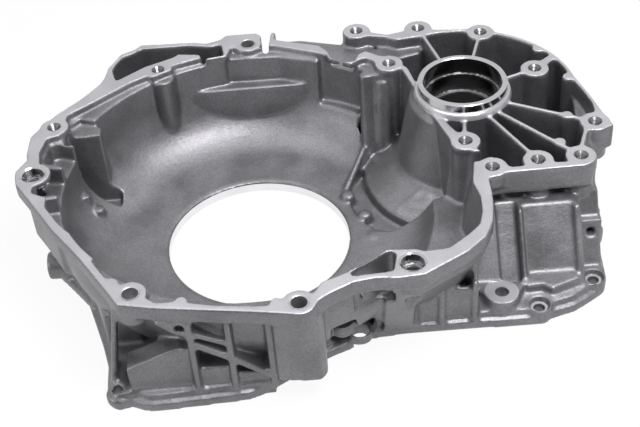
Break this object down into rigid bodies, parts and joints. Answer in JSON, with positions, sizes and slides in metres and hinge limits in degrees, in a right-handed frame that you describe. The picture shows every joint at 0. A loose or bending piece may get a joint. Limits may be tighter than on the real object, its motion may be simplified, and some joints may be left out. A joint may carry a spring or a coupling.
{
  "type": "torque converter housing",
  "caption": "Cast aluminium bell housing for a torque converter, with a ribbed output case, a turned bearing ring and a joint flange.",
  "frame": {"origin": "point of the converter axis in the plane of the joint face, under the centre of the round hole", "axes": "+Z along the converter axis from the joint face to the bell face, +X to the right of the picture and towards the output case, +Y to the back"},
  "size_m": [0.4946, 0.3761, 0.1094],
  "materials": {
    "housing": "die cast, with machined faces and bores"
  },
  "bodies": {
    "root": {"housing": "housing"}
  },
  "joints": []
}
